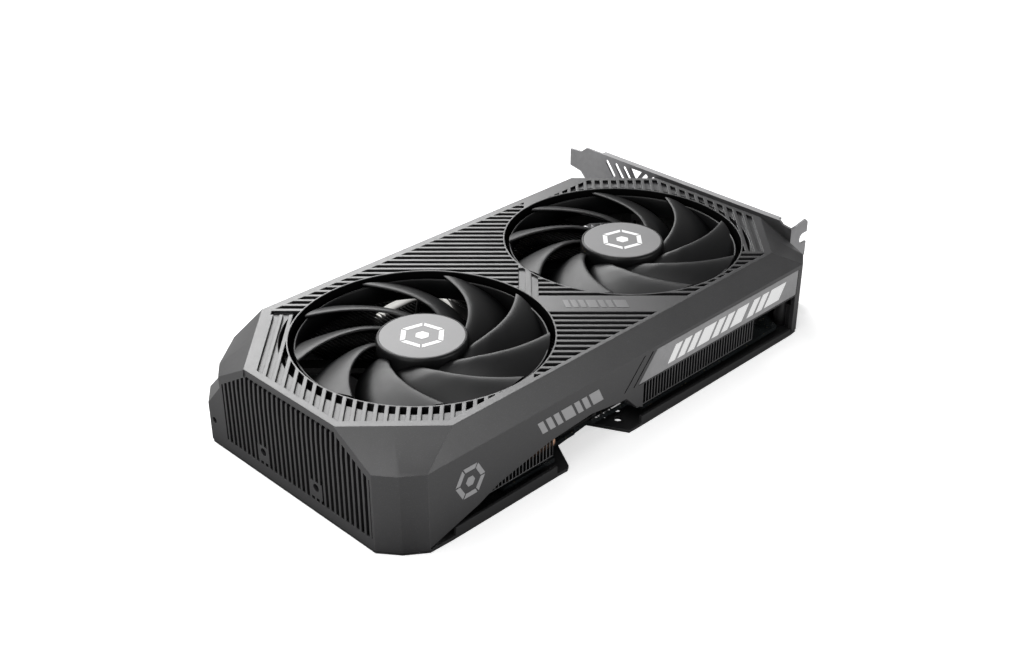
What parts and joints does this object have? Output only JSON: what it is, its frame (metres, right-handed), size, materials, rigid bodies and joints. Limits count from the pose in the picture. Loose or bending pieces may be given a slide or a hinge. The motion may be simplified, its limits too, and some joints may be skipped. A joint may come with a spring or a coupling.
{
  "type": "graphics card",
  "caption": "Two-slot graphics card with twin axial fans, slatted angular shroud, finned heatsink, I/O bracket and edge connector.",
  "frame": {"origin": "midway between the two fan axes, on the underside of the backplate", "axes": "+X from tail to I/O bracket, +Y towards the edge contacts, +Z from the backplate to the fans"},
  "size_m": [0.2312, 0.1342, 0.0396],
  "materials": {
    "shroud": "fine-grained satin dark grey",
    "badge": "satin mid grey",
    "backplate": "satin black powder coat",
    "board": "black solder mask",
    "gold": "polished gold plate",
    "connector": "black moulded",
    "pins": "tin plated",
    "package": "dark green laminate",
    "die": "polished silicon",
    "chip": "epoxy package",
    "pad": "soft thermal pad",
    "inductor": "pressed ferrite",
    "capacitor": "bare can",
    "brass": "turned",
    "copper": "copper, brushed",
    "pipe": "nickel-plated copper",
    "fins": "thin bare sheet",
    "steel": "plated steel",
    "screw": "black oxide",
    "bracket": "satin nickel-plated steel",
    "socket": "plated shell",
    "rotor": "satin black",
    "disc": "fine satin silver",
    "motor": "black moulded",
    "magnet": "bonded ferrite",
    "laminations": "stacked sheet",
    "cable": "sleeved wires"
  },
  "bodies": {
    "root": {"shroud": "shroud", "side_badge": "badge", "backplate": "backplate", "pcb": "board", "edge_contacts": "gold", "gpu_package": "package", "gpu_die": "die", "memory_chips": "chip", "thermal_pads": "pad", "inductors": "inductor", "power_stages": "chip", "capacitors": "capacitor", "standoffs": "brass", "power_connector": "connector", "power_pins": "pins", "cold_plate": "copper", "heat_pipes": "pipe", "fins_tail": "fins", "fins_front": "fins", "retention_plate": "steel", "gpu_screws": "steel", "backplate_screws": "screw", "shroud_screws": "screw", "io_bracket": "bracket", "bracket_screws": "steel", "display_sockets": "socket", "wide_socket": "socket", "fan_headers": "connector", "fan_bearing_tail": "brass", "fan_frame_tail": "motor", "motor_board_tail": "board", "stator_core_tail": "laminations", "coils_tail": "copper", "frame_screws_tail": "screw", "fan_cable_tail": "cable", "fan_bearing_front": "brass", "fan_frame_front": "motor", "motor_board_front": "board", "stator_core_front": "laminations", "coils_front": "copper", "frame_screws_front": "screw", "fan_cable_front": "cable"},
    "fan_tail": {"fan_rotor_tail": "rotor", "hub_disc_tail": "disc", "fan_shaft_tail": "steel", "magnet_ring_tail": "magnet"},
    "fan_front": {"fan_rotor_front": "rotor", "hub_disc_front": "disc", "fan_shaft_front": "steel", "magnet_ring_front": "magnet"}
  },
  "joints": [
    {"name": "fan_tail_spin", "type": "hinge", "parent": "root", "child": "fan_tail", "pos_m": [-0.0523, 0, 0.0339], "axis": [0, 0, 1], "continuous": true},
    {"name": "fan_front_spin", "type": "hinge", "parent": "root", "child": "fan_front", "pos_m": [0.0523, 0, 0.0339], "axis": [0, 0, 1], "continuous": true}
  ]
}
